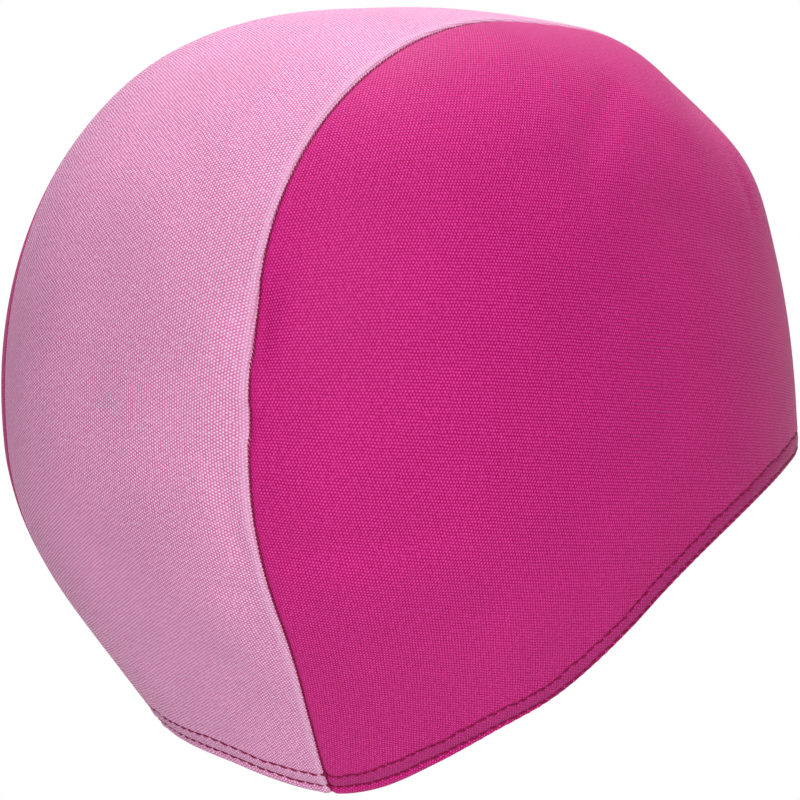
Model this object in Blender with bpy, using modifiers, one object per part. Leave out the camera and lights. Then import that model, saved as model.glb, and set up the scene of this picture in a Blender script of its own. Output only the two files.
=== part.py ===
"""Fabric swim cap of three panels, in the form that it takes on a head.

Metres, +Z up. The wearer faces -Y and the wearer's left is +X. The origin lies on the inner face of
the crown, where the cap rests on the top of the head.
"""

import math
from collections import namedtuple
from functools import cache

import bmesh
import bpy
from mathutils import Vector

# Form of the worn cap, measured from the middle of the head form to the outer face
HALF_WIDTH = 0.0765
FOREHEAD_REACH = 0.0975
BACK_REACH = 0.0960
CROWN_RISE = 0.0920
UNDER_DROP = 0.0955

# Cloth and making
CLOTH_WALL = 0.0012
HEM_WALL = 0.0022
HEM_DEPTH = 0.0085
HEM_STEP = 0.0015
SEAM_GAP = 0.0003
BAND_HALF_WIDTH = 0.0380

# Height of the hem's edge against the middle of the head form
HEM_AT_FOREHEAD = -0.0070
HEM_AT_NAPE = -0.0690
HEM_ASKEW = 0.0050

# How square the head form is: 2 is an ellipse and more is fuller at the corners
PLAN_FULLNESS = 2.4
CROWN_FULLNESS = 2.45
UNDER_FULLNESS = 1.9

# Cells of each panel's grid
SIDE_COLUMNS = 34
SIDE_ROWS = 18
BAND_COLUMNS = 12
BAND_ROWS = 54
CROWN_STRETCH = (0.30, 0.70)

# Swells and dents of the form. Azimuth runs from the forehead, 0, by the ear, 90, to the nape, 180, and
# is minus on the wearer's right. Share is the change of the radius there.
Swell = namedtuple("Swell", "place azimuth elevation spread share mirrored")
SWELLS = (
    Swell("forehead", 0, 25, 30, 0.020, False),
    Swell("temples", 45, 20, 28, -0.045, True),
    Swell("sides", 90, 15, 35, -0.010, True),
    Swell("front of crown", 60, 55, 25, 0.020, True),
    Swell("back of crown", 120, 60, 25, 0.045, True),
    Swell("nape", 180, -30, 25, -0.085, False),
    Swell("behind the ears", 135, -34, 24, -0.070, True),
    Swell("fold end at the crown", -45, 63, 9, 0.012, False),
    Swell("fold over the right brow", -45, 49, 8, -0.014, False),
    Swell("right temple corner", -45, 37, 9, 0.016, False),
)

# Half of the centre panel's width along the cap, as a share of BAND_HALF_WIDTH. The angle runs from
# straight ahead, 0, over the crown, 90, to straight back, 180, and on down to the nape.
BandSection = namedtuple("BandSection", "angle share")
BAND_SECTIONS = (
    BandSection(-15, 0.80),
    BandSection(20, 0.80),
    BandSection(50, 0.80),
    BandSection(80, 0.81),
    BandSection(110, 0.91),
    BandSection(140, 0.935),
    BandSection(170, 1.00),
    BandSection(200, 0.95),
    BandSection(220, 0.765),
    BandSection(240, 0.65),
)

# Course of the hem from its forehead height, 0, to its nape height, 1
HemSection = namedtuple("HemSection", "azimuth share")
HEM_SECTIONS = (
    HemSection(0, 0.00),
    HemSection(25, 0.00),
    HemSection(48, 0.01),
    HemSection(60, 0.06),
    HemSection(72, 0.15),
    HemSection(84, 0.28),
    HemSection(96, 0.46),
    HemSection(108, 0.63),
    HemSection(120, 0.73),
    HemSection(132, 0.84),
    HemSection(144, 0.94),
    HemSection(156, 0.99),
    HemSection(180, 0.98),
)


def read_table(rows, at):
    """A smooth value between the rows of a table whose two columns are a place and a share."""
    at = min(max(at, rows[0][0]), rows[-1][0])
    after = next(i for i, row in enumerate(rows) if i and at <= row[0])
    before = after - 1
    low, high = rows[before], rows[after]
    span = high[0] - low[0]

    def slope(i):
        near, far = rows[max(i - 1, 0)], rows[min(i + 1, len(rows) - 1)]
        return (far[1] - near[1]) / (far[0] - near[0]) * span

    t = (at - low[0]) / span
    bend = slope(before) * t * (1 - t) ** 2 - slope(after) * t**2 * (1 - t)
    return low[1] + (high[1] - low[1]) * t * t * (3 - 2 * t) + bend


def compass_direction(azimuth, elevation):
    """Unit direction at degrees round from the forehead and degrees above the level."""
    a, e = math.radians(azimuth), math.radians(elevation)
    return Vector((math.sin(a) * math.cos(e), -math.cos(a) * math.cos(e), math.sin(e)))


def band_direction(angle, lean):
    """Unit direction at degrees over the crown from the forehead, leaning sideways by lean radians."""
    a = math.radians(angle)
    return Vector((math.sin(lean), -math.cos(lean) * math.cos(a), math.cos(lean) * math.sin(a)))


def swell_directions():
    """The unit direction, spread in radians and share of every swell, on both sides where mirrored."""
    found = []
    for swell in SWELLS:
        for side in (1, -1) if swell.mirrored else (1,):
            direction = compass_direction(side * swell.azimuth, swell.elevation)
            found.append((direction, math.radians(swell.spread), swell.share))
    return found


SWELL_DIRECTIONS = swell_directions()


def form_radius(direction):
    """Distance from the middle of the head form to the cap's outer face along a unit direction."""
    reach = FOREHEAD_REACH if direction.y < 0 else BACK_REACH
    rise, fullness = (CROWN_RISE, CROWN_FULLNESS) if direction.z > 0 else (UNDER_DROP, UNDER_FULLNESS)
    across = (abs(direction.x) / HALF_WIDTH) ** PLAN_FULLNESS
    along = (abs(direction.y) / reach) ** PLAN_FULLNESS
    plan = (across + along) ** (1 / PLAN_FULLNESS)
    radius = (plan**fullness + (abs(direction.z) / rise) ** fullness) ** (-1 / fullness)
    change = 0.0
    for centre, spread, share in SWELL_DIRECTIONS:
        apart = math.acos(min(1.0, max(-1.0, direction.dot(centre))))
        change += share * math.exp(-((apart / spread) ** 2))
    return radius * (1 + change)


HEAD_TOP = form_radius(Vector((0, 0, 1))) - CLOTH_WALL
MIDDLE = Vector((0, 0, -HEAD_TOP))


@cache
def seam_direction(angle, side, widen):
    """Direction of the seam on one side of the centre panel, moved outwards by widen."""
    half = BAND_HALF_WIDTH * read_table(BAND_SECTIONS, angle) + widen
    lean = math.asin(half / HALF_WIDTH)
    for _ in range(6):
        lean = math.asin(half / form_radius(band_direction(angle, side * lean)))
    return band_direction(angle, side * lean)


def hem_height(azimuth):
    """Height of the hem's edge. The cap is worn a little askew, so its nape is lower on the right."""
    share = read_table(HEM_SECTIONS, abs(math.remainder(azimuth, 360)))
    a = math.radians(azimuth)
    askew = HEM_ASKEW * 2 * math.sin(a) * max(0.0, -math.cos(a))
    return HEM_AT_FOREHEAD + (HEM_AT_NAPE - HEM_AT_FOREHEAD) * share + askew


@cache
def hem_point(azimuth):
    """Point of the hem's edge, from the middle of the head form."""
    low, high = -80.0, 45.0
    height = hem_height(azimuth)
    for _ in range(24):
        elevation = (low + high) / 2
        direction = compass_direction(azimuth, elevation)
        if form_radius(direction) * direction.z < height:
            low = elevation
        else:
            high = elevation
    return direction * form_radius(direction)


@cache
def lifted_direction(azimuth, lift):
    """Direction of the point that lies lift up the cloth from the hem's edge."""
    point = hem_point(azimuth)
    if lift == 0:
        return point.normalized()
    along = hem_point(azimuth + 1) - hem_point(azimuth - 1)
    up = point.cross(along).normalized()
    if up.z < 0:
        up.negate()
    return (point + up * lift).normalized()


def fore_aft_angle(direction):
    """Degrees over the crown from the forehead, below 0 under the level at the front."""
    angle = math.degrees(math.atan2(direction.z, -direction.y))
    return angle + 360 if angle < -90 else angle


def seam_crossing(lift, side, at_nape, widen):
    """Azimuth at which the line lift above the hem crosses a seam, at the forehead or the nape."""
    middle, ear = (180.0, 100.0) if at_nape else (0.0, 70.0)
    for _ in range(24):
        azimuth = (middle + ear) / 2
        direction = lifted_direction(side * azimuth, lift)
        seam = seam_direction(fore_aft_angle(direction), side, widen)
        if abs(direction.x) < abs(seam.x):
            middle = azimuth
        else:
            ear = azimuth
    return side * azimuth


def mix(a, b, t):
    return a + (b - a) * t


def patch(left, right, bottom, top, u, v):
    """Point of a four-sided patch spanned by its edge curves: left and right run with v, the others with u."""
    edges = mix(left(v), right(v), u) + mix(bottom(u), top(u), v)
    corners = mix(mix(bottom(0), bottom(1), u), mix(top(0), top(1), u), v)
    return edges - corners


def hem_lifts():
    """Distance up the cloth of the rows that make the hem, from its edge to the step above its fold."""
    return (0.0, HEM_DEPTH / 2, HEM_DEPTH, HEM_DEPTH + HEM_STEP)


def side_direction(side):
    """Function of a column share and a row, as a direction, for the side panel on one side."""
    widen = SEAM_GAP / 2
    lifts = hem_lifts()
    ends = [[seam_crossing(lift, side, nape, widen) for nape in (False, True)] for lift in lifts]
    front, back = (fore_aft_angle(lifted_direction(azimuth, lifts[-1])) for azimuth in ends[-1])
    crown_front, crown_back = (mix(front, back, share) for share in CROWN_STRETCH)

    def front_seam(v):
        return seam_direction(mix(front, crown_front, v), side, widen)

    def back_seam(v):
        return seam_direction(mix(back, crown_back, v), side, widen)

    def crown_seam(u):
        return seam_direction(mix(crown_front, crown_back, u), side, widen)

    def above_hem(u):
        return lifted_direction(mix(*ends[-1], u), lifts[-1])

    def at(u, row):
        if row < len(lifts):
            return lifted_direction(mix(*ends[row], u), lifts[row])
        v = (row - len(lifts) + 1) / SIDE_ROWS
        return patch(front_seam, back_seam, above_hem, crown_seam, u, v).normalized()

    return at


def centre_direction():
    """Function of a column share and a row, as a direction, for the centre panel."""
    widen = -SEAM_GAP / 2
    lifts = hem_lifts()
    forehead, nape = (
        [[seam_crossing(lift, side, end, widen) for side in (-1, 1)] for lift in lifts]
        for end in (False, True)
    )
    # The nape's row is carried past 180 degrees, so that it runs on over the back of the neck.
    nape = [[right + 360, left] for right, left in nape]

    def flat(direction):
        """Fore-aft angle and sideways lean of a direction, in radians."""
        return Vector((math.radians(fore_aft_angle(direction)), math.asin(direction.x)))

    def edge(ends, u):
        return flat(lifted_direction(mix(*ends[-1], u), lifts[-1]))

    def seam(side, v):
        angles = [math.degrees(edge(ends, (side + 1) / 2).x) for ends in (forehead, nape)]
        return flat(seam_direction(mix(*angles, v), side, widen))

    def at(u, row):
        last = BAND_ROWS + 2 * (len(lifts) - 1)
        for ends, i in ((forehead, row), (nape, last - row)):
            if i < len(lifts) - 1:
                return lifted_direction(mix(*ends[i], u), lifts[i])
        v = (row - len(lifts) + 1) / BAND_ROWS
        place = patch(
            lambda t: seam(-1, t),
            lambda t: seam(1, t),
            lambda t: edge(forehead, t),
            lambda t: edge(nape, t),
            u,
            v,
        )
        return band_direction(math.degrees(place.x), place.y)

    return at


def cloth_material(name, colour):
    material = bpy.data.materials.new(name)
    material.use_nodes = True
    shader = material.node_tree.nodes["Principled BSDF"]
    shader.inputs["Base Color"].default_value = (*colour, 1.0)
    shader.inputs["Roughness"].default_value = 0.75
    shader.inputs["Metallic"].default_value = 0.0
    return material


def make_panel(name, direction_at, columns, rows, hem_rows, material, collection):
    """A grid laid on the head form, given its wall by Solidify, thicker in the rows of the hem."""
    cloth = bmesh.new()
    bmesh.ops.create_grid(cloth, x_segments=columns, y_segments=rows, size=0.5)
    hem_vertices = []
    for vertex in cloth.verts:
        u, row = vertex.co.x + 0.5, round((vertex.co.y + 0.5) * rows)
        if row in hem_rows:
            hem_vertices.append(vertex.index)
        direction = direction_at(u, row)
        vertex.co = MIDDLE + direction * form_radius(direction)
    cloth.normal_update()
    middle_face = min(cloth.faces, key=lambda face: -face.calc_center_median().z)
    if middle_face.normal.dot(middle_face.calc_center_median() - MIDDLE) < 0:
        bmesh.ops.reverse_faces(cloth, faces=cloth.faces)
    mesh = bpy.data.meshes.new(name)
    cloth.to_mesh(mesh)
    cloth.free()
    mesh.materials.append(material)
    mesh.shade_smooth()

    panel = bpy.data.objects.new(name, mesh)
    collection.objects.link(panel)
    wall = panel.vertex_groups.new(name="wall")
    wall.add(range(len(mesh.vertices)), CLOTH_WALL / HEM_WALL, "REPLACE")
    wall.add(hem_vertices, 1.0, "REPLACE")
    solid = panel.modifiers.new("cloth thickness", "SOLIDIFY")
    solid.thickness = HEM_WALL
    solid.offset = -1.0
    solid.vertex_group = wall.name
    solid.use_even_offset = False
    return panel


def main():
    for old in list(bpy.data.objects):
        bpy.data.objects.remove(old, do_unlink=True)
    collection = bpy.data.collections.new("swim_cap")
    bpy.context.scene.collection.children.link(collection)

    light_pink = cloth_material("light_pink_knit", (0.62, 0.29, 0.49))
    magenta = cloth_material("magenta_knit", (0.50, 0.03, 0.18))
    hem_count = len(hem_lifts()) - 1

    rows = BAND_ROWS + 2 * hem_count
    hem_rows = [*range(hem_count), *range(rows - hem_count + 1, rows + 1)]
    make_panel("centre_panel", centre_direction(), BAND_COLUMNS, rows, hem_rows, light_pink, collection)
    for side, word in ((1, "left"), (-1, "right")):
        make_panel(
            f"side_panel_{word}",
            side_direction(side),
            SIDE_COLUMNS,
            SIDE_ROWS + hem_count,
            range(hem_count),
            magenta,
            collection,
        )


main()
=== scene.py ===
"""Looks of a fabric swim cap of three panels, in the form that it takes on a head.

Metres, +Z up. The wearer faces -Y and the wearer's left is +X. The origin lies on the inner face of
the crown, where the cap rests on the top of the head.
"""

import math
from collections import namedtuple

import bmesh
import bpy
import numpy as np
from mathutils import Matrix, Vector


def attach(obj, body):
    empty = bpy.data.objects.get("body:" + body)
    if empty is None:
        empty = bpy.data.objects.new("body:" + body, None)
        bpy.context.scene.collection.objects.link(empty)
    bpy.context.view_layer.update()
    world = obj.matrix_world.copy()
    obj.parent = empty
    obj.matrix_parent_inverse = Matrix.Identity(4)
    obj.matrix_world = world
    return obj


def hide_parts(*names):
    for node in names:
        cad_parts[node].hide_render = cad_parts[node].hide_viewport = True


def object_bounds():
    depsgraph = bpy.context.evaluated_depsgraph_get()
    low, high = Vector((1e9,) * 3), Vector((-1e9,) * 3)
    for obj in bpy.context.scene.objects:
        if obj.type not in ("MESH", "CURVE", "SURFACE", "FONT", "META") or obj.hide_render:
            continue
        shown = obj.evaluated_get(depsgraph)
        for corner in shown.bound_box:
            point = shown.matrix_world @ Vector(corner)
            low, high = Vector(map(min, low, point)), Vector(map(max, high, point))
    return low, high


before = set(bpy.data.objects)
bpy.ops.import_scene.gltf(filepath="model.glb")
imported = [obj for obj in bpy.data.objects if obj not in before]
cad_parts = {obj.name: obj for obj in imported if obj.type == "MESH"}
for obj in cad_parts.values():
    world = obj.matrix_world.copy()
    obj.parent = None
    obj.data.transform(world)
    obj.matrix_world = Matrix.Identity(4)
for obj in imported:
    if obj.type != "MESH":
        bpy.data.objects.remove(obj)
cad_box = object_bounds()

# Centre panel
# The light pink band that runs from the forehead over the crown to the nape. It is one length of fine
# stretch knit, sewn to a side panel along each long edge, with both ends turned in as the hem.

# Form of the worn cap, measured from the middle of the head form to the outer face
HALF_WIDTH = 0.0765
FOREHEAD_REACH = 0.0975
BACK_REACH = 0.0960
CROWN_RISE = 0.0920
UNDER_DROP = 0.0955
PLAN_FULLNESS = 2.4
CROWN_FULLNESS = 2.45
UNDER_FULLNESS = 1.9

# Swells and dents: azimuth from the forehead, 0, to the nape, 180, and minus on the wearer's right
Swell = namedtuple("Swell", "place azimuth elevation spread share mirrored")
SWELLS = (
    Swell("forehead", 0, 25, 30, 0.020, False),
    Swell("temples", 45, 20, 28, -0.045, True),
    Swell("sides", 90, 15, 35, -0.010, True),
    Swell("front of crown", 60, 55, 25, 0.020, True),
    Swell("back of crown", 120, 60, 25, 0.045, True),
    Swell("nape", 180, -30, 25, -0.085, False),
    Swell("behind the ears", 135, -34, 24, -0.070, True),
    Swell("fold end at the crown", -45, 63, 9, 0.012, False),
    Swell("fold over the right brow", -45, 49, 8, -0.014, False),
    Swell("right temple corner", -45, 37, 9, 0.016, False),
)

# Soft creases, minus, and ridges, plus, along a line from one place of the form to another
Fold = namedtuple("Fold", "place azimuth elevation azimuth_to elevation_to width height")
FOLDS = (
    Fold("crease under the crown", -84, 56, -103, 44, 0.0042, -0.00085),
    Fold("crease behind it", -102, 54, -105, 38, 0.0040, -0.00065),
    Fold("ridge beside them", -93, 46, -94, 37, 0.0034, 0.00015),
    Fold("hollow over the temple", -88, 38, -60, 28, 0.0080, -0.00080),
    Fold("ridge over the temple", -82, 53, -62, 44, 0.0060, 0.00045),
    Fold("crease at the temple corner", -52.5, 41, -54, 31, 0.0024, -0.00040),
    Fold("upper dent by the seam", -155.6, 24, -155.8, 14, 0.0033, -0.00200),
    Fold("lower dent by the seam", -156.4, 10, -156.8, 5, 0.0026, -0.00150),
    Fold("valley along the seam", -154.6, 29, -155.4, -5, 0.0042, -0.00075),
    Fold("crease in the band", -160.4, 3, -158.0, -11, 0.0022, -0.00080),
    Fold("ridge of the band", -162, 22, -161, -6, 0.0065, 0.00080),
    Fold("band over the nape", -161, -14, -163, -28, 0.0080, 0.00090),
    Fold("crease from the knee", -154, -8, -132, -6, 0.0035, -0.00080),
    Fold("ridge under it", -150, -13, -134, -12, 0.0045, 0.00035),
    Fold("crease over the left ear", 98, 50, 112, 38, 0.0035, -0.00050),
    Fold("crease from the left seam", 150, -6, 133, -9, 0.0035, -0.00040),
)

# Share of its height that a fold loses towards its ends
FOLD_FADE = 0.75

CLOTH_WALL = 0.0012
HEM_WALL = 0.0022
HEM_DEPTH = 0.0085
HEM_STEP = 0.0006
BAND_HALF_WIDTH = 0.0380
HEM_AT_FOREHEAD = -0.0070
HEM_AT_NAPE = -0.0690
HEM_ASKEW = 0.0050

# Half of the centre panel's width as a share of BAND_HALF_WIDTH, over the crown from straight ahead, 0
BandSection = namedtuple("BandSection", "angle share")
BAND_SECTIONS = (
    BandSection(-15, 0.80),
    BandSection(20, 0.80),
    BandSection(50, 0.80),
    BandSection(80, 0.81),
    BandSection(110, 0.91),
    BandSection(140, 0.935),
    BandSection(170, 1.00),
    BandSection(200, 0.95),
    BandSection(220, 0.765),
    BandSection(240, 0.53),
)

# The left seam lies this much further out behind the crown, since the cap is worn a little askew
LEFT_SEAM_OUT = 0.0032
LEFT_SEAM_ANGLE = 142
LEFT_SEAM_SPREAD = 15

# Course of the hem from its forehead height, 0, to its nape height, 1
HemSection = namedtuple("HemSection", "azimuth share")
HEM_SECTIONS = (
    HemSection(0, 0.00),
    HemSection(25, 0.00),
    HemSection(48, 0.01),
    HemSection(60, 0.06),
    HemSection(72, 0.15),
    HemSection(84, 0.28),
    HemSection(96, 0.46),
    HemSection(108, 0.63),
    HemSection(120, 0.73),
    HemSection(132, 0.84),
    HemSection(144, 0.94),
    HemSection(156, 0.99),
    HemSection(180, 0.98),
)

# The lower row of hem stitches runs close to the edge, and higher at the nape. The other runs above it.
LOWER_ROW = 0.0012
LOWER_ROW_AT_NAPE = 0.0031
ROW_RISES_FROM = 105
ROW_RISES_TO = 150
ROWS_APART = 0.0037
ROW_WANDERS = (0.00005, 0.00015)
STITCH_PITCH = 0.0023

# Relief of the hem: it swells under and between the rows, dips along each row, is gathered beside the
# row by every stitch, and puckers above them
Relief = namedtuple("Relief", "height width")
EDGE_SWELL = Relief(0.00020, 0.0008)
MIDDLE_SWELL = Relief(0.00014, 0.0012)
ROW_GROOVE = Relief(0.00032, 0.00055)
GROOVE_CHANGE = 0.00008
GATHER = Relief(0.00007, 0.0007)
GATHER_AWAY = 0.0009
ROW_LAG = 2.1
PUCKER = Relief(0.00007, 0.0030)
PUCKER_LIFT = 0.0060

# The cloth rolls in beside a seam, after a slight lip. A painted highlight makes it paler along the lip.
SeamRoll = namedtuple("SeamRoll", "depth radius lip")
CENTRE_ROLL = SeamRoll(depth=0.0009, radius=0.0011, lip=0.00018)
LIP_AWAY = 0.0013
LIP_WIDTH = 0.0007
LIP_HIGHLIGHT_AWAY = 0.0009
LIP_HIGHLIGHT_WIDTH = 0.0008

# The painted shade between the hem's two rows is full where the product of the distances from the rows
# reaches this
HEM_SHADE_FULL = 1.0e-6

# Rounds of halving, and of working out the lean of a seam
HALVINGS = 30
LEAN_ROUNDS = 8

# Grid of the cloth: steps in from a seam, heights of the rows of the hem, and the step between
SEAM_STEPS = (0.0, 0.00015, 0.00035, 0.0006, 0.0009, 0.0013, 0.0018, 0.0025)
HEM_LIFTS = np.array([0, 0.1, 0.25, 0.45, 0.7, 1.0, 1.35, 1.7, *np.arange(2.0, 10.01, 0.25)]) / 1000
CLOTH_STEP = 0.0011
CENTRE_ROWS = 300

# Lift given to the rows above those of the hem, far from any stitch
BODY_LIFT = 1.0

# How much the raised yarn varies from stitch to stitch
YARN_CHANGE = 0.75

# A metre in the unit of the cloth's UV places
MILLIMETRES = 1000


def bell(apart, width):
    """1 where apart is 0, and near nothing from two widths away."""
    return np.exp(-((apart / width) ** 2))


def smooth(share):
    """A share from 0 to 1, eased at both ends."""
    return share * share * (3 - 2 * share)


def read_table(rows, at):
    """Smooth values between the rows of a table whose two columns are a place and a share."""
    places, shares = (np.array(column, float) for column in zip(*rows))
    slopes = np.empty(len(rows))
    slopes[1:-1] = (shares[2:] - shares[:-2]) / (places[2:] - places[:-2])
    slopes[0] = (shares[1] - shares[0]) / (places[1] - places[0])
    slopes[-1] = (shares[-1] - shares[-2]) / (places[-1] - places[-2])
    at = np.clip(at, places[0], places[-1])
    after = np.clip(np.searchsorted(places, at), 1, len(rows) - 1)
    before = after - 1
    span = places[after] - places[before]
    t = (at - places[before]) / span
    bend = span * (slopes[before] * t * (1 - t) ** 2 - slopes[after] * t**2 * (1 - t))
    return shares[before] + (shares[after] - shares[before]) * smooth(t) + bend


def unit(vectors):
    return vectors / np.linalg.norm(vectors, axis=-1, keepdims=True)


def wrapped(azimuth):
    """An azimuth brought between -180 and 180."""
    return (azimuth + 180) % 360 - 180


def compass_direction(azimuth, elevation):
    a, e = np.radians(azimuth), np.radians(elevation)
    return np.stack([np.sin(a) * np.cos(e), -np.cos(a) * np.cos(e), np.sin(e) + 0 * a], axis=-1)


def band_direction(angle, lean):
    """Direction at degrees over the crown from the forehead, leaning sideways by lean radians."""
    a = np.radians(angle)
    return np.stack([np.sin(lean), -np.cos(lean) * np.cos(a), np.cos(lean) * np.sin(a)], axis=-1)


def fore_aft_angle(direction):
    """Degrees over the crown from the forehead, below 0 under the level at the front."""
    angle = np.degrees(np.arctan2(direction[..., 2], -direction[..., 1]))
    return np.where(angle < -90, angle + 360, angle)


placed_swells = [(swell, side) for swell in SWELLS for side in ((1, -1) if swell.mirrored else (1,))]
SWELL_CENTRES = np.array([compass_direction(s.azimuth * side, s.elevation) for s, side in placed_swells])
SWELL_SPREADS = np.radians([swell.spread for swell, _ in placed_swells])
SWELL_SHARES = np.array([swell.share for swell, _ in placed_swells])


def form_radius(direction):
    """Distance from the middle of the head form to the cap's outer face."""
    x, y, z = np.moveaxis(np.abs(direction), -1, 0)
    above = direction[..., 2] > 0
    reach = np.where(direction[..., 1] < 0, FOREHEAD_REACH, BACK_REACH)
    rise = np.where(above, CROWN_RISE, UNDER_DROP)
    fullness = np.where(above, CROWN_FULLNESS, UNDER_FULLNESS)
    plan = ((x / HALF_WIDTH) ** PLAN_FULLNESS + (y / reach) ** PLAN_FULLNESS) ** (1 / PLAN_FULLNESS)
    radius = (plan**fullness + (z / rise) ** fullness) ** (-1 / fullness)
    apart = np.arccos(np.clip(direction @ SWELL_CENTRES.T, -1, 1))
    return radius * (1 + bell(apart, SWELL_SPREADS) @ SWELL_SHARES)


MIDDLE = np.array([0, 0, CLOTH_WALL - form_radius(np.array([0.0, 0.0, 1.0]))])


def form_point(direction):
    return MIDDLE + direction * form_radius(direction)[..., None]


def form_normal(direction):
    """Outward normal of the form, from points a little to each side."""
    oblique = np.array([0.31, 0.47, 0.83])
    across = unit(np.cross(direction, oblique))
    along = np.cross(direction, across)
    step = 0.01
    slopes = [
        form_point(unit(direction + step * way)) - form_point(unit(direction - step * way))
        for way in (across, along)
    ]
    return unit(np.cross(*slopes))


def seam_direction(angle, side):
    """Direction of a seam at degrees over the crown: side is 1 for the wearer's left, -1 for the right."""
    out = LEFT_SEAM_OUT * bell(angle - LEFT_SEAM_ANGLE, LEFT_SEAM_SPREAD)
    half = BAND_HALF_WIDTH * read_table(BAND_SECTIONS, angle) + np.where(side > 0, out, 0)
    lean = np.arcsin(half / HALF_WIDTH)
    for _ in range(LEAN_ROUNDS):
        lean = np.arcsin(half / form_radius(band_direction(angle, side * lean)))
    return band_direction(angle, side * lean)


def hem_height(azimuth):
    """Height of the hem's edge. The cap is worn a little askew, so its nape is lower on the right."""
    a = np.radians(azimuth)
    askew = HEM_ASKEW * 2 * np.sin(a) * np.maximum(0, -np.cos(a))
    share = read_table(HEM_SECTIONS, np.abs(wrapped(azimuth)))
    return HEM_AT_FOREHEAD + (HEM_AT_NAPE - HEM_AT_FOREHEAD) * share + askew


def hem_elevations(azimuth):
    """Elevation at which the form comes down to the height of the hem's edge, by halving."""
    low, high = np.full(len(azimuth), -80.0), np.full(len(azimuth), 45.0)
    for _ in range(HALVINGS):
        elevation = (low + high) / 2
        direction = compass_direction(azimuth, elevation)
        under = form_radius(direction) * direction[..., 2] < hem_height(azimuth)
        low, high = np.where(under, elevation, low), np.where(under, high, elevation)
    return elevation


# The hem's edge, at every quarter of a degree of azimuth
HEM_AZIMUTHS = np.linspace(-180, 180, 1441)
HEM_ELEVATIONS = hem_elevations(HEM_AZIMUTHS)


def hem_point(azimuth):
    """Point of the hem's edge, from the middle of the head form."""
    direction = compass_direction(azimuth, np.interp(wrapped(azimuth), HEM_AZIMUTHS, HEM_ELEVATIONS))
    return direction * form_radius(direction)[..., None]


def lifted_direction(azimuth, lift):
    """Direction of the point that lies lift up the cloth from the hem's edge."""
    point = hem_point(azimuth)
    up = unit(np.cross(point, hem_point(azimuth + 1) - hem_point(azimuth - 1)))
    up = up * np.where(up[..., 2:] < 0, -1, 1)
    return unit(point + up * np.asarray(lift)[..., None])


def seam_crossing(lift, side, at_nape):
    """Azimuth at which each line lift above the hem crosses a seam, at the forehead or the nape."""
    middle, ear = (np.full(len(lift), azimuth) for azimuth in ((180.0, 100.0) if at_nape else (0.0, 70.0)))
    for _ in range(HALVINGS):
        azimuth = (middle + ear) / 2
        direction = lifted_direction(side * azimuth, lift)
        inside = np.abs(direction[:, 0]) < np.abs(seam_direction(fore_aft_angle(direction), side)[:, 0])
        middle, ear = np.where(inside, azimuth, middle), np.where(inside, ear, azimuth)
    return side * azimuth


def graded(length, step, edge_steps):
    """Shares from 0 to 1 along a length: close together at both ends, and even between."""
    edge = np.array(edge_steps)
    count = round((length - 2 * edge[-1]) / step)
    even = np.linspace(edge[-1], length - edge[-1], count + 1)
    return np.concatenate([edge[:-1], even, length - edge[-2::-1]]) / length


hem_steps = np.linalg.norm(np.diff(hem_point(HEM_AZIMUTHS), axis=0), axis=1)
HEM_LENGTHS = np.concatenate([[0], np.cumsum(hem_steps)])
HEM_GIRTH = HEM_LENGTHS[-1]
STITCH_COUNT = round(HEM_GIRTH / STITCH_PITCH)


def hem_length(azimuth):
    """Length along the hem's edge, from the nape round over the wearer's right ear."""
    return np.interp(wrapped(azimuth), HEM_AZIMUTHS, HEM_LENGTHS)


def hem_azimuth(length):
    """Azimuth at a length along the hem's edge."""
    return np.interp(length % HEM_GIRTH, HEM_LENGTHS, HEM_AZIMUTHS)


def row_lift(row, length):
    """Height of a row of stitches, which wanders a little as it was sewn."""
    behind = (np.abs(hem_azimuth(length)) - ROW_RISES_FROM) / (ROW_RISES_TO - ROW_RISES_FROM)
    rise = (LOWER_ROW_AT_NAPE - LOWER_ROW) * smooth(np.clip(behind, 0, 1))
    turn = 2 * math.pi * length / HEM_GIRTH
    wander = np.sin(23 * turn + 2 * row) + 0.7 * np.sin(57 * turn + 5 * row) + 0.5 * np.sin(91 * turn)
    return LOWER_ROW + rise + ROWS_APART * row + ROW_WANDERS[row] * wander


def hem_relief(lift, length):
    """How far the outer face of the hem stands out: swells, stitch grooves, gathers and puckers."""
    turn = 2 * math.pi * length / HEM_GIRTH
    lower = row_lift(0, length)
    relief = EDGE_SWELL.height * bell(lift - 0.5 * lower, EDGE_SWELL.width)
    relief = relief + MIDDLE_SWELL.height * bell(lift - lower - 0.5 * ROWS_APART, MIDDLE_SWELL.width)
    for row in (0, 1):
        away = lift - row_lift(row, length)
        beat = np.cos(turn * STITCH_COUNT + ROW_LAG * row)
        groove = ROW_GROOVE.height + GROOVE_CHANGE * beat
        relief = relief - groove * bell(away, ROW_GROOVE.width)
        relief = relief + GATHER.height * beat * bell(np.abs(away) - GATHER_AWAY, GATHER.width)
    waves = np.sin(61 * turn + 1.3 * np.sin(17 * turn)) + 0.6 * np.sin(97 * turn + 2.0 * np.sin(29 * turn))
    return relief + PUCKER.height * waves * bell(lift - PUCKER_LIFT, PUCKER.width)


def hem_fold(lift):
    """How far the folded edge of the hem draws back from its outer face."""
    radius = HEM_WALL / 2
    short = np.clip(radius - lift, 0, None)
    return radius - np.sqrt(radius**2 - short**2)


def seam_relief(distance, roll):
    """How far the cloth beside a seam stands out at its lip, and rolls in next to the seam."""
    short = np.clip(roll.radius - distance, 0, None) / roll.radius
    drop = roll.depth * (1 - np.sqrt(np.clip(1 - short**2, 0, None)))
    return roll.lip * bell(distance - LIP_AWAY, LIP_WIDTH) - drop


def seam_distance(direction):
    """Distance from each point to the nearer seam, across the form."""
    side = np.where(direction[..., 0] < 0, -1, 1)
    seam = seam_direction(fore_aft_angle(direction), side)
    return np.abs(np.arcsin(direction[..., 0]) - np.arcsin(seam[..., 0])) * form_radius(direction)


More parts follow.
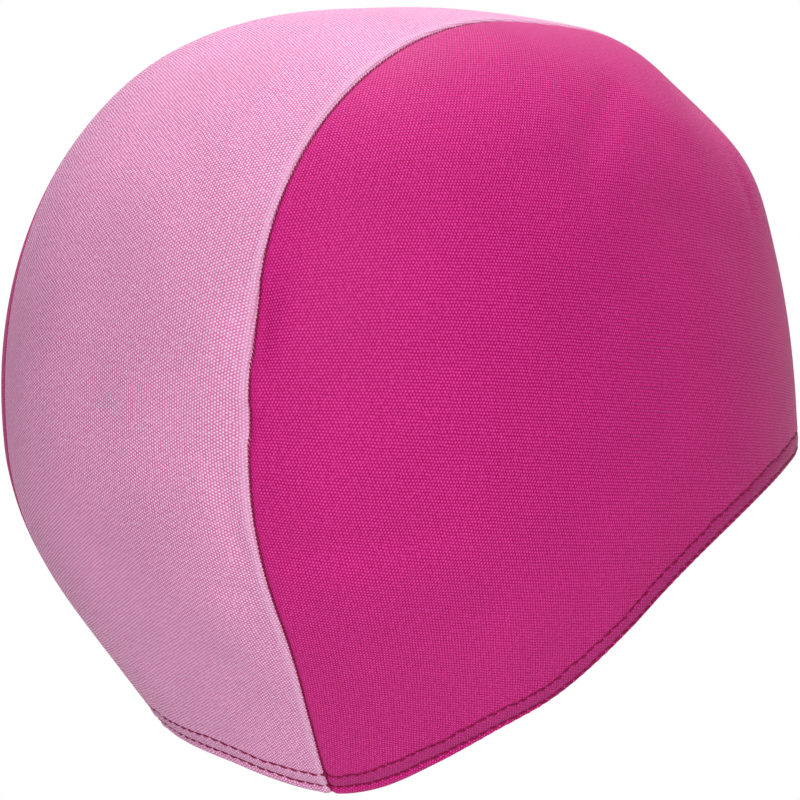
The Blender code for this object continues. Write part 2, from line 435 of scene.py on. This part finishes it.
def fold_relief(points):
    """How far the folds push points of the form out or in. Each fold fades towards its ends."""
    relief = 0
    for fold in FOLDS:
        start = form_point(compass_direction(fold.azimuth, fold.elevation))
        course = form_point(compass_direction(fold.azimuth_to, fold.elevation_to)) - start
        share = np.clip((points - start) @ course / (course @ course), 0, 1)
        apart = np.linalg.norm(points - start - share[..., None] * course, axis=-1)
        fade = 1 - FOLD_FADE * np.abs(2 * share - 1) ** 3
        relief = relief + fold.height * fade * bell(apart, fold.width)
    return relief


def folded_point(direction, normal, raised=0):
    """Point of the outer form with its folds, raised along the normal."""
    base = form_point(direction)
    return base + normal * (fold_relief(base) + raised)[..., None]


def inner_wall(lift):
    """Thickness from the outer to the inner face: two layers and a fold in the hem, and one above it."""
    return HEM_WALL + (CLOTH_WALL - HEM_WALL) * smooth(np.clip((lift - HEM_DEPTH) / HEM_STEP, 0, 1))


def new_piece(name, points, faces, uv_name, uv):
    """An object with smooth faces, and a UV place for each of its points."""
    mesh = bpy.data.meshes.new(name)
    mesh.from_pydata(points.tolist(), [], faces)
    layer = mesh.uv_layers.new(name=uv_name)
    corners = np.empty(len(mesh.loops), np.int64)
    mesh.loops.foreach_get("vertex_index", corners)
    layer.data.foreach_set("uv", uv[corners].astype(np.float32).ravel())
    mesh.shade_smooth()
    piece = bpy.data.objects.new(name, mesh)
    bpy.context.scene.collection.objects.link(piece)
    return piece


def face_outward(mesh):
    """Turns all faces of a closed mesh outward, and drops points that no face uses."""
    cloth = bmesh.new()
    cloth.from_mesh(mesh)
    loose = [vertex for vertex in cloth.verts if not vertex.link_faces]
    bmesh.ops.delete(cloth, geom=loose, context="VERTS")
    bmesh.ops.recalc_face_normals(cloth, faces=cloth.faces)
    cloth.to_mesh(mesh)
    cloth.free()


def shell(name, outer, inner, uv, marks, shared_rows):
    """A closed cloth wall from an outer and an inner grid that share the rows of the folded hem."""
    rows, columns = outer.shape[:2]
    outer_at = np.arange(rows * columns).reshape(rows, columns)
    inner_at = outer_at + rows * columns
    for row in shared_rows:
        inner_at[row] = outer_at[row]
    faces = []
    for at, turn in ((outer_at, 1), (inner_at, -1)):
        quads = np.stack([at[:-1, :-1], at[:-1, 1:], at[1:, 1:], at[1:, :-1]], axis=-1)
        faces.append(quads.reshape(-1, 4)[:, ::turn])
    borders = [(outer_at[:, 0], inner_at[:, 0]), (outer_at[:, -1], inner_at[:, -1])]
    if rows - 1 not in shared_rows:
        borders.append((outer_at[-1], inner_at[-1]))
    for near, far in borders:
        faces.append(np.stack([near[:-1], near[1:], far[1:], far[:-1]], axis=-1))
    faces = [list(dict.fromkeys(face)) for face in np.concatenate(faces).tolist()]
    points = np.concatenate([outer.reshape(-1, 3), inner.reshape(-1, 3)])
    panel = new_piece(name, points, faces, "knit", np.tile(uv.reshape(-1, 2), (2, 1)))
    for mark, values in marks.items():
        attribute = panel.data.attributes.new(mark, "FLOAT", "POINT")
        attribute.data.foreach_set("value", np.tile(values.ravel(), 2).astype(np.float32))
    face_outward(panel.data)
    return panel


def dressed(name, direction, lift, length, uv, roll, shared_rows):
    """A panel's closed wall, with the relief of its hem and seams."""
    normal = form_normal(direction)
    distance = seam_distance(direction)
    relief = seam_relief(distance, roll) + np.where(lift < BODY_LIFT, hem_relief(lift, length), 0)
    fold = hem_fold(lift)
    base = folded_point(direction, normal)
    outer = base + normal * (relief - fold)[..., None]
    inner = base - normal * (inner_wall(lift) - fold)[..., None]
    between = (lift - row_lift(0, length)) * (row_lift(1, length) - lift)
    marks = {
        # Painted shade between the hem's two rows
        "hem": np.clip(between / HEM_SHADE_FULL, 0, 1),
        # Painted highlight on the lip beside a seam
        "seam": bell(distance - LIP_HIGHLIGHT_AWAY, LIP_HIGHLIGHT_WIDTH),
    }
    return shell(name, outer, inner, uv, marks, shared_rows)


def coons(left, right, bottom, top, u, v):
    """Grid of points spanned by four edge curves: left and right run with v, the others with u."""
    u, v = u[None, :, None], v[:, None, None]
    edges = left[:, None] * (1 - u) + right[:, None] * u + bottom[None] * (1 - v) + top[None] * v
    corners = (bottom[0] * (1 - u) + bottom[-1] * u) * (1 - v) + (top[0] * (1 - u) + top[-1] * u) * v
    return edges - corners


def centre_grid():
    """Directions, hem lifts and azimuths of the centre panel's grid, from the forehead to the nape."""
    u = graded(2 * BAND_HALF_WIDTH, CLOTH_STEP, SEAM_STEPS)
    ends = []
    for at_nape in (False, True):
        right, left = (seam_crossing(HEM_LIFTS, side, at_nape) for side in (-1, 1))
        azimuth = (right + 360 * at_nape)[:, None] * (1 - u) + left[:, None] * u
        ends.append((azimuth, lifted_direction(azimuth, HEM_LIFTS[:, None] + 0 * azimuth)))

    def flat(direction):
        return np.stack([fore_aft_angle(direction), np.arcsin(direction[..., 0])], axis=-1)

    bottom, top = (flat(directions[-1]) for _, directions in ends)
    v = np.linspace(0, 1, CENTRE_ROWS)
    angles = [bottom[side, 0] * (1 - v) + top[side, 0] * v for side in (0, -1)]
    left, right = (flat(seam_direction(angle, side)) for angle, side in zip(angles, (-1, 1)))
    place = coons(left, right, bottom, top, u, v)
    body = band_direction(place[..., 0], place[..., 1])
    forehead, nape = ends
    direction = np.concatenate([forehead[1][:-1], body, nape[1][-2::-1]])
    azimuth = np.concatenate([forehead[0][:-1], 0 * place[..., 0], nape[0][-2::-1]])
    lift = np.concatenate([HEM_LIFTS[:-1], np.full(len(v), BODY_LIFT), HEM_LIFTS[-2::-1]])
    lift[[len(HEM_LIFTS) - 1, -len(HEM_LIFTS)]] = HEM_LIFTS[-1]
    azimuth[len(HEM_LIFTS) - 1], azimuth[-len(HEM_LIFTS)] = forehead[0][-1], nape[0][-1]
    return direction, lift[:, None] + 0 * azimuth, azimuth


def centre_knit(direction):
    """Places on the centre panel's knit, in millimetres across it and along it from the forehead."""
    angles = np.linspace(-40, 260, 601)
    centreline = form_point(band_direction(angles, 0 * angles))
    centreline_run = np.cumsum(np.linalg.norm(np.diff(centreline, axis=0, prepend=0), axis=1))
    run = np.interp(fore_aft_angle(direction), angles, centreline_run - centreline_run[0])
    across = np.arcsin(direction[..., 0]) * form_radius(direction)
    return np.stack([across, run], axis=-1) * MILLIMETRES


direction, lift, azimuth = centre_grid()
centre_panel = dressed(
    "centre_panel_cloth",
    direction,
    lift,
    hem_length(azimuth),
    centre_knit(direction),
    CENTRE_ROLL,
    shared_rows=(0, len(direction) - 1),
)


def link(tree, sockets):
    """Joins sockets of a material's nodes, given as pairs from and to."""
    for source, target in sockets:
        tree.links.new(source, target)


def new_node(tree, kind, inputs=None, **settings):
    """A node with its settings, and the values of some inputs by name or number."""
    node = tree.nodes.new(kind)
    for setting, value in settings.items():
        setattr(node, setting, value)
    for socket, value in (inputs or {}).items():
        node.inputs[socket].default_value = value
    return node


def maths(tree, operation, first, second=None):
    """A maths node whose inputs are numbers or sockets, as its output."""
    node = new_node(tree, "ShaderNodeMath", operation=operation)
    for socket, value in zip(node.inputs, (first, second)):
        if hasattr(value, "links"):
            tree.links.new(value, socket)
        elif value is not None:
            socket.default_value = value
    return node.outputs[0]


def mixed(tree, share, first, second):
    """A colour mix node, as its output. The colours are tuples or sockets."""
    node = new_node(tree, "ShaderNodeMix", data_type="RGBA")
    for socket, value in ((node.inputs[0], share), (node.inputs[6], first), (node.inputs[7], second)):
        if hasattr(value, "links"):
            tree.links.new(value, socket)
        else:
            socket.default_value = value if isinstance(value, float) else (*value, 1)
    return node.outputs[2]


def new_material(name, roughness, specular):
    """A material, with its node tree and its shader."""
    material = bpy.data.materials.new(name)
    material.use_nodes = True
    shader = material.node_tree.nodes["Principled BSDF"]
    shader.inputs["Roughness"].default_value = roughness
    shader.inputs["Specular IOR Level"].default_value = specular
    return material, material.node_tree, shader


def knit_material(name, shaded_ground, loops, hem_shade, hem_shade_most, lip_highlight, lip_highlight_most, wale_pitch, loop_pitch):
    """Fine stretch knit: raised loops in staggered lines along the cloth, lighter than the hollows between
    them, which hold painted shade.
    """
    material, tree, shader = new_material(name, roughness=0.50, specular=0.11)
    uv = new_node(tree, "ShaderNodeUVMap", uv_map="knit")
    drift = new_node(tree, "ShaderNodeTexNoise", {"Scale": 0.35, "Detail": 2.0})
    wobble = new_node(tree, "ShaderNodeVectorMath", {1: (0.5, 0.5, 0)}, operation="MULTIPLY_ADD")
    split = new_node(tree, "ShaderNodeSeparateXYZ")
    link(
        tree,
        (
            (uv.outputs[0], drift.inputs["Vector"]),
            (drift.outputs["Color"], wobble.inputs[0]),
            (uv.outputs[0], wobble.inputs[2]),
            (wobble.outputs[0], split.inputs[0]),
        ),
    )
    across = maths(tree, "COSINE", maths(tree, "MULTIPLY", split.outputs[0], math.pi / wale_pitch))
    along = maths(tree, "COSINE", maths(tree, "MULTIPLY", split.outputs[1], 2 * math.pi / loop_pitch))
    lines = maths(tree, "COSINE", maths(tree, "MULTIPLY", split.outputs[0], 2 * math.pi / wale_pitch))
    crossed = maths(tree, "MULTIPLY", maths(tree, "MULTIPLY", across, along), 2.0)
    lattice = maths(tree, "MULTIPLY", maths(tree, "ADD", crossed, lines), 1 / 3)
    loop_range = {"From Min": -0.45, "From Max": 0.75}
    loop = new_node(tree, "ShaderNodeMapRange", loop_range, interpolation_type="SMOOTHSTEP")

    # Uneven yarn, stitch by stitch and in soft patches
    yarn = new_node(tree, "ShaderNodeTexNoise", {"Scale": 1.1, "Detail": 1.0})
    patches = new_node(tree, "ShaderNodeTexNoise", {"Scale": 0.05, "Detail": 3.0})
    uneven = maths(tree, "MULTIPLY", maths(tree, "SUBTRACT", yarn.outputs["Fac"], 0.5), YARN_CHANGE)
    raised = maths(tree, "ADD", loop.outputs["Result"], uneven)
    patch_range = {"From Min": 0.3, "From Max": 0.7, "To Min": 0.955, "To Max": 1.04}
    shade = new_node(tree, "ShaderNodeMapRange", patch_range)
    toned = new_node(tree, "ShaderNodeVectorMath", operation="SCALE")
    link(
        tree,
        (
            (lattice, loop.inputs["Value"]),
            (uv.outputs[0], yarn.inputs["Vector"]),
            (uv.outputs[0], patches.inputs["Vector"]),
            (patches.outputs["Fac"], shade.inputs["Value"]),
            (mixed(tree, raised, shaded_ground, loops), toned.inputs[0]),
            (shade.outputs["Result"], toned.inputs["Scale"]),
        ),
    )

    # Painted shade, greyer, between the two rows of the hem, and a painted highlight, paler, on the lip
    # along a seam
    hem = new_node(tree, "ShaderNodeAttribute", attribute_name="hem")
    seam = new_node(tree, "ShaderNodeAttribute", attribute_name="seam")
    hem_shade_share = maths(tree, "MULTIPLY", hem.outputs["Fac"], hem_shade_most)
    lip_highlight_share = maths(tree, "MULTIPLY", seam.outputs["Fac"], lip_highlight_most)
    colour = mixed(tree, lip_highlight_share, mixed(tree, hem_shade_share, toned.outputs[0], hem_shade), lip_highlight)
    bump = new_node(tree, "ShaderNodeBump", {"Strength": 0.75, "Distance": 0.00016})
    link(
        tree,
        (
            (colour, shader.inputs["Base Color"]),
            (raised, bump.inputs["Height"]),
            (bump.outputs[0], shader.inputs["Normal"]),
        ),
    )
    return material


light_pink = knit_material(
    "light_pink_knit",
    # Painted shade in the hollows between the raised loops
    shaded_ground=(0.71, 0.175, 0.385),
    loops=(0.99, 0.67, 0.965),
    # Painted shade between the hem's two rows
    hem_shade=(0.62, 0.32, 0.50),
    hem_shade_most=0.30,
    # Painted highlight on the lip beside a seam
    lip_highlight=(0.92, 0.56, 0.78),
    lip_highlight_most=0.40,
    wale_pitch=0.60,
    loop_pitch=0.71,
)
centre_panel.data.materials.append(light_pink)
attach(centre_panel, "root")
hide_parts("centre_panel")

# Side panels
# Two magenta panels, one over each ear, cut from the same stretch knit as half-moons. The curved edge
# is sewn to the centre panel, and the straight one is turned in as the hem.

# Shares of the way from the front to the back of the hem at which a panel's top edge begins and ends
CROWN_STRETCH = (0.30, 0.70)
PANEL_LENGTH = 0.23
PANEL_HEIGHT = 0.10
SIDE_ROLL = SeamRoll(depth=0.0010, radius=0.0018, lip=0.00003)

# The knit is laid from a pole at the ear, which is a little behind it and above it
POLE_SHIFT = (0.05, 0.10)
KNIT_TURN = math.radians(7)


def side_grid(side):
    """Directions, hem lifts and azimuths of a side panel's grid, from the hem up to the crown."""
    u = graded(PANEL_LENGTH, CLOTH_STEP, SEAM_STEPS)
    v = graded(PANEL_HEIGHT, CLOTH_STEP, SEAM_STEPS)
    v = np.concatenate([[0], v[len(SEAM_STEPS) - 1 :]])
    front, back = (seam_crossing(HEM_LIFTS, side, at_nape) for at_nape in (False, True))
    azimuth = front[:, None] * (1 - u) + back[:, None] * u
    hem = lifted_direction(azimuth, HEM_LIFTS[:, None] + 0 * azimuth)
    low_front, low_back = fore_aft_angle(hem[-1, [0, -1]])
    high_front, high_back = (low_front + (low_back - low_front) * share for share in CROWN_STRETCH)
    left = seam_direction(low_front * (1 - v) + high_front * v, side)
    right = seam_direction(low_back * (1 - v) + high_back * v, side)
    top = seam_direction(high_front * (1 - u) + high_back * u, side)
    body = unit(coons(left, right, hem[-1], top, u, v))
    direction = np.concatenate([hem[:-1], body])
    azimuth = np.concatenate([azimuth, np.repeat(azimuth[-1:], len(v) - 1, axis=0)])
    lift = np.concatenate([HEM_LIFTS, np.full(len(v) - 1, BODY_LIFT)])
    return direction, lift[:, None] + 0 * azimuth, azimuth


def cloth_distance(pole, direction):
    """Length over the form from the pole to each direction."""
    steps = 16
    total = 0
    before = form_point(pole + 0 * direction)
    for share in np.linspace(0, 1, steps + 1)[1:]:
        after = form_point(unit(pole * (1 - share) + direction * share))
        total = total + np.linalg.norm(after - before, axis=-1)
        before = after
    return total


def side_knit(side, direction):
    """Places on a side panel's knit, in millimetres across it and along it, turned a little."""
    pole = unit(np.array([side, *POLE_SHIFT]))
    spread = direction - pole * (direction @ pole)[..., None]
    heading = spread / np.maximum(np.linalg.norm(spread, axis=-1, keepdims=True), 1e-9)
    far = cloth_distance(pole, direction)
    rise, run = heading[..., 2] * far, heading[..., 1] * far
    across = rise * math.cos(KNIT_TURN) - run * math.sin(KNIT_TURN)
    along = rise * math.sin(KNIT_TURN) + run * math.cos(KNIT_TURN)
    return np.stack([across, along], axis=-1) * MILLIMETRES


magenta = knit_material(
    "magenta_knit",
    # Painted shade in the hollows between the raised loops
    shaded_ground=(0.47, 0.002, 0.135),
    loops=(0.91, 0.056, 0.385),
    # Painted shade between the hem's two rows
    hem_shade=(0.36, 0.035, 0.165),
    hem_shade_most=0.42,
    # Painted highlight on the lip beside a seam
    lip_highlight=(0.62, 0.016, 0.22),
    lip_highlight_most=0.40,
    wale_pitch=0.655,
    loop_pitch=0.66,
)
for side, word in ((1, "left"), (-1, "right")):
    direction, lift, azimuth = side_grid(side)
    side_panel = dressed(
        f"side_panel_{word}_cloth",
        direction,
        lift,
        hem_length(azimuth),
        side_knit(side, direction),
        SIDE_ROLL,
        shared_rows=(0,),
    )
    side_panel.data.materials.append(magenta)
    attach(side_panel, "root")
    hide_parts(f"side_panel_{word}")

# Hem stitches
# Two rows of dark magenta thread hold the turned edge all the way round. Each stitch is a short bridge
# of thread that dives into the cloth at both ends.

THREAD_RADIUS = 0.00021
THREAD_SIDES = 7
PLIES_PER_MILLIMETRE = 2.4
STITCH_SHARE = 0.93
STITCH_POINTS = 7
STITCH_RISE = 0.00012
STITCH_DIVE = 0.00030

# The stitches slant most over the ears, where the sine of the azimuth passes EAR_FROM and EAR_FROM plus
# EAR_EASE. They slant and stray a little unevenly, as real ones do.
STITCH_SLANT = 0.00050
LEAST_SLANT = 0.3
EAR_FROM = 0.45
EAR_EASE = 0.15
SLANT_CHANGE = 0.6
STITCH_STRAY = 0.00005


def thread_mesh(name, paths, normals, radius):
    """Many short threads as one mesh: a tube round each path, closed at both ends."""
    along = unit(np.gradient(paths, axis=1))
    across = unit(np.cross(along, normals))
    up = np.cross(across, along)
    turn = 2 * math.pi * np.arange(THREAD_SIDES) / THREAD_SIDES
    ring = np.cos(turn)[:, None] * across[:, :, None] + np.sin(turn)[:, None] * up[:, :, None]
    points = paths[:, :, None] + radius * ring
    count, length = paths.shape[:2]
    at = np.arange(count * length * THREAD_SIDES).reshape(count, length, THREAD_SIDES)
    beside = np.roll(at, -1, axis=2)
    quads = np.stack([at[:, :-1], beside[:, :-1], beside[:, 1:], at[:, 1:]], axis=-1).reshape(-1, 4)
    faces = [*quads.tolist(), *at[:, 0, ::-1].tolist(), *at[:, -1].tolist()]
    run = np.cumsum(np.linalg.norm(np.diff(paths, axis=1, prepend=paths[:, :1]), axis=2), axis=1)
    places = np.broadcast_arrays(run[..., None] * MILLIMETRES, turn / (2 * math.pi))
    places = np.stack(places, axis=-1).reshape(-1, 2)
    threads = new_piece(name, points.reshape(-1, 3), faces, "thread", places)
    threads.data.validate()
    return threads


def thread_material(name, colour, groove_shade):
    """Twisted thread: slanting plies, with painted shade in the grooves between them."""
    material, tree, shader = new_material(name, roughness=0.55, specular=0.15)
    uv = new_node(tree, "ShaderNodeUVMap", uv_map="thread")
    split = new_node(tree, "ShaderNodeSeparateXYZ")
    link(tree, ((uv.outputs[0], split.inputs[0]),))
    plies = maths(tree, "MULTIPLY", split.outputs[0], PLIES_PER_MILLIMETRE)
    slant = maths(tree, "ADD", plies, split.outputs[1])
    ply = maths(tree, "ABSOLUTE", maths(tree, "SINE", maths(tree, "MULTIPLY", slant, 2 * math.pi)))
    bump = new_node(tree, "ShaderNodeBump", {"Distance": 0.00006})
    link(
        tree,
        (
            # Painted shade in the grooves between the plies
            (mixed(tree, ply, groove_shade, colour), shader.inputs["Base Color"]),
            (ply, bump.inputs["Height"]),
            (bump.outputs[0], shader.inputs["Normal"]),
        ),
    )
    return material


def along_hem(length, lift, raised):
    """Points and normals on the hem's outer face, at lengths round it, heights up it and offsets from it."""
    direction = lifted_direction(hem_azimuth(length), lift)
    normal = form_normal(direction)
    offset = hem_relief(lift, length) - hem_fold(lift) + raised
    return form_point(direction) + normal * offset[..., None], normal


dark_magenta_thread = thread_material(
    # The darker colour is painted shade in the grooves between the thread's plies
    "dark_magenta_thread", colour=(0.36, 0.010, 0.085), groove_shade=(0.18, 0.005, 0.040)
)
for row, word in enumerate(("lower", "upper")):
    number = np.arange(STITCH_COUNT)[:, None]
    start = (number + 0.5 * row) * HEM_GIRTH / STITCH_COUNT
    share = np.linspace(0, 1, STITCH_POINTS)[None]
    length = start + share * STITCH_PITCH * STITCH_SHARE
    bridge = STITCH_RISE + STITCH_DIVE * (np.sqrt(np.sin(math.pi * share)) - 1)
    middle = hem_azimuth(start)
    over_ear = np.clip((np.abs(np.sin(np.radians(middle))) - EAR_FROM) / EAR_EASE, 0, 1)
    slant = STITCH_SLANT * (LEAST_SLANT + (1 - LEAST_SLANT) * over_ear)
    slant = slant * (1 + SLANT_CHANGE * np.sin(2.4 * number + row))
    slant = slant * (share - 0.5) * np.where(middle > 0, 1, -1)
    stray = STITCH_STRAY * np.sin(1.7 * number + 3 * row)
    paths, normals = along_hem(length, row_lift(row, length) + slant + stray, bridge + 0 * length)
    stitches = thread_mesh(f"hem_stitches_{word}", paths, normals, THREAD_RADIUS)
    stitches.data.materials.append(dark_magenta_thread)
    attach(stitches, "root")

# Seam stitches
# The overlock thread that joins the panels. Only its short bridges show outside, deep in the groove
# between light pink and magenta, as a fine dark toothed line.

SEAM_PITCH = 0.0010
SEAM_SAMPLES = 1201
SEAM_THREAD_RADIUS = 0.00017
BRIDGE_POINTS = 5
BRIDGE_HALF = 0.00030
BRIDGE_SLANT = 0.00058
BRIDGE_DEPTH = 0.00046
BRIDGE_SAG = 0.00010

# Height above the hem's edge at which the stitches begin and end
BRIDGES_LIFT = 0.0008


def seam_ends(side, lift):
    """Angles over the crown at which a seam is lift above the hem, at the forehead and the nape."""
    lifts = np.array([lift])
    crossings = [seam_crossing(lifts, side, at_nape) for at_nape in (False, True)]
    return [fore_aft_angle(lifted_direction(crossing, lifts))[0] for crossing in crossings]


def seam_frame(side, angle):
    """Direction, normal and heading of a seam at angles over the crown."""
    direction = seam_direction(angle, side)
    before, after = (form_point(seam_direction(angle + step, side)) for step in (-0.2, 0.2))
    return direction, form_normal(direction), unit(after - before)


for side, word in ((1, "left"), (-1, "right")):
    angle = np.linspace(*seam_ends(side, BRIDGES_LIFT), SEAM_SAMPLES)
    course = form_point(seam_direction(angle, side))
    run = np.concatenate([[0], np.cumsum(np.linalg.norm(np.diff(course, axis=0), axis=1))])
    count = round(run[-1] / SEAM_PITCH)
    at = np.interp((np.arange(count) + 0.5) / count * run[-1], run, angle)
    direction, normal, along = seam_frame(side, at)
    across = np.cross(normal, along)
    share = np.linspace(-1, 1, BRIDGE_POINTS)[None, :, None]
    sag = BRIDGE_DEPTH + BRIDGE_SAG * share**2
    reach = (across * BRIDGE_HALF + along * BRIDGE_SLANT)[:, None] * share
    paths = folded_point(direction, normal)[:, None] + reach - normal[:, None] * sag
    normals = normal[:, None] + 0 * paths
    bridges = thread_mesh(f"seam_stitches_{word}", paths, normals, SEAM_THREAD_RADIUS)
    bridges.data.materials.append(dark_magenta_thread)
    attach(bridges, "root")

# Looper thread inside the hem
# On the inside the two rows are joined by one looper thread, which zigzags from row to row and covers
# the turned edge.

LOOPER_RADIUS = 0.00018
LOOPER_GAP = 0.00008
ZIGZAG_POINTS = 6

point_number = np.arange(STITCH_COUNT * ZIGZAG_POINTS + 1)
length = point_number * HEM_GIRTH / (STITCH_COUNT * ZIGZAG_POINTS)
swing = smooth(0.5 - 0.5 * np.cos(point_number * 2 * math.pi / ZIGZAG_POINTS))
lift = row_lift(0, length) * (1 - swing) + row_lift(1, length) * swing
direction = lifted_direction(hem_azimuth(length), lift)
normal = form_normal(direction)
path = form_point(direction) - normal * (HEM_WALL + LOOPER_GAP)
looper = thread_mesh("hem_looper_thread", path[None], normal[None], LOOPER_RADIUS)
looper.data.materials.append(dark_magenta_thread)
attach(looper, "root")

# Seam allowances
# On the inside the raw edges of each seam lie together as a flat narrow welt, pressed towards the side
# panel, with overlock thread wrapped over its free edge.

WELT_WIDTH = 0.0050
WELT_HEIGHT = 0.0010
WELT_STEPS = 320
WELT_LIFT = 0.0012

# Outline of the welt, and one turn of the overlock thread round it, as shares of its width and height
WELT_OUTLINE = np.array(
    [(0, 0.4), (0.03, 0.9), (0.12, 1), (0.85, 1), (0.97, 0.85), (1, 0.4), (1, -0.3), (0, -0.3)]
)
OVERLOCK_TURN = (
    (0.02, 0.9), (0.35, 1.12), (0.75, 1.12), (1.04, 0.9), (1.04, 0.2), (0.70, 1.22), (0.30, 1.22)
)
OVERLOCK_RADIUS = 0.00016
OVERLOCK_PITCH = 0.0022

# The seam's length and mean radius, and the degrees over which the welt sinks to the hem or the thread
# stops short of the welt's end
SEAM_LENGTH = 0.36
SEAM_RADIUS = 0.09
HEM_APPROACH = 5
OVERLOCK_SHORT = 1.5


def beside_seam(side, angle, away, depth):
    """Points away from a seam across the inside of the side panel, depth below the outer form."""
    direction, normal, along = seam_frame(side, angle)
    across = np.cross(normal, along)
    across = across * np.where(across[..., :1] * side < 0, -1, 1)
    direction = unit(form_point(direction) + across * away[..., None] - MIDDLE)
    normal = form_normal(direction)
    return folded_point(direction, normal, -depth), normal


def welt_depth(angle, ends, climb):
    """Depth below the outer form at a share of the welt's height, deeper where it passes the hem."""
    low, high = ends
    near_hem = np.clip(1 - np.minimum(angle - low, high - angle) / HEM_APPROACH, 0, 1)
    return CLOTH_WALL + climb * WELT_HEIGHT + near_hem * (HEM_WALL - CLOTH_WALL)


for side, word in ((1, "left"), (-1, "right")):
    ends = seam_ends(side, WELT_LIFT)
    away, climb = WELT_OUTLINE.T
    angle = np.linspace(*ends, WELT_STEPS)[:, None] + 0 * away
    away = away * WELT_WIDTH + 0 * angle
    rings, _ = beside_seam(side, angle, away, welt_depth(angle, ends, climb))
    at = np.arange(angle.size).reshape(angle.shape)
    beside = np.roll(at, -1, axis=1)
    quads = np.stack([at[:-1], beside[:-1], beside[1:], at[1:]], axis=-1).reshape(-1, 4)
    faces = [*quads.tolist(), at[0, ::-1].tolist(), at[-1].tolist()]
    places = np.stack([away, np.radians(angle) * SEAM_RADIUS], axis=-1).reshape(-1, 2) * MILLIMETRES
    welt = new_piece(f"seam_allowance_{word}", rings.reshape(-1, 3), faces, "knit", places)
    face_outward(welt.data)
    welt.data.materials.append(magenta)
    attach(welt, "root")

    away, climb = np.tile(OVERLOCK_TURN, (round(SEAM_LENGTH / OVERLOCK_PITCH), 1)).T
    angle = np.linspace(ends[0] + OVERLOCK_SHORT, ends[1] - OVERLOCK_SHORT, len(away))
    path, normal = beside_seam(side, angle, away * WELT_WIDTH, welt_depth(angle, ends, climb))
    overlock = thread_mesh(f"overlock_thread_{word}", path[None], normal[None], OVERLOCK_RADIUS)
    overlock.data.materials.append(dark_magenta_thread)
    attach(overlock, "root")

# Floor, light and camera
# A plain pale floor well under the cap, which a head would hold up. Soft boxes light it from above and
# from the wearer's rear right, in a grey studio whose far wall, ahead to the wearer's left, is lit white.

FLOOR_DROP = 0.42
FLOOR_RADIUS = 1.1
FLOOR_GREY = 0.90

floor_place = (0, 0, cad_box[0][2] - FLOOR_DROP)
bpy.ops.mesh.primitive_circle_add(vertices=96, radius=FLOOR_RADIUS, fill_type="NGON", location=floor_place)
floor = bpy.context.object
floor.name = "floor"
pale, _, pale_shader = new_material("pale_floor", roughness=0.9, specular=0.5)
pale_shader.inputs["Base Color"].default_value = (FLOOR_GREY, FLOOR_GREY, FLOOR_GREY, 1)
floor.data.materials.append(pale)

CAMERA_AZIMUTH = 223.7
CAMERA_ELEVATION = 7.0
CAMERA_DISTANCE = 0.572
CAMERA_TARGET = Vector((0.0010, 0.0036, -0.0867))
LENS = 113.0

# The far wall is white up to one angle from its azimuth, and fades to the grey of the studio at the other
FAR_WALL_AZIMUTH = 32.0
FAR_WALL_WHITE_TO = 36
FAR_WALL_GREY_FROM = 60
STUDIO_GREY = 0.22

LAMP_SIZE = 0.6
LAMP_AIM = Vector((0, 0, -0.08))

world = bpy.data.worlds.new("studio")
world.use_nodes = True
background = world.node_tree.nodes["Background"]
background.inputs["Color"].default_value = (1, 1, 1, 1)
around = new_node(world.node_tree, "ShaderNodeTexCoord")
far_wall = {1: compass_direction(FAR_WALL_AZIMUTH, 0)}
facing = new_node(world.node_tree, "ShaderNodeVectorMath", far_wall, operation="DOT_PRODUCT")
wall_range = {
    "From Min": math.cos(math.radians(FAR_WALL_GREY_FROM)),
    "From Max": math.cos(math.radians(FAR_WALL_WHITE_TO)),
    "To Min": STUDIO_GREY,
    "To Max": 1.0,
}
wall = new_node(world.node_tree, "ShaderNodeMapRange", wall_range, interpolation_type="SMOOTHSTEP")
link(
    world.node_tree,
    (
        (around.outputs["Generated"], facing.inputs[0]),
        (facing.outputs["Value"], wall.inputs["Value"]),
        (wall.outputs["Result"], background.inputs["Strength"]),
    ),
)
bpy.context.scene.world = world
bpy.context.scene.view_settings.view_transform = "Standard"


def soft_box(name, place, power):
    lamp = bpy.data.lights.new(name, "AREA")
    lamp.shape = "DISK"
    lamp.size = LAMP_SIZE
    lamp.energy = power
    holder = bpy.data.objects.new(name, lamp)
    holder.location = place
    holder.rotation_euler = (LAMP_AIM - Vector(place)).to_track_quat("-Z", "Y").to_euler()
    bpy.context.scene.collection.objects.link(holder)


soft_box("overhead", place=(0.314, -0.314, 1.142), power=13.9)
soft_box("rear", place=(-0.810, 0.870, 0.449), power=11.3)

towards = Vector(compass_direction(CAMERA_AZIMUTH, CAMERA_ELEVATION))
camera = bpy.data.objects.new("camera", bpy.data.cameras.new("camera"))
camera.location = CAMERA_TARGET + towards * CAMERA_DISTANCE
camera.rotation_euler = (-towards).to_track_quat("-Z", "Y").to_euler()
camera.data.lens = LENS
camera.data.clip_start = 0.01
bpy.context.scene.collection.objects.link(camera)
bpy.context.scene.camera = camera
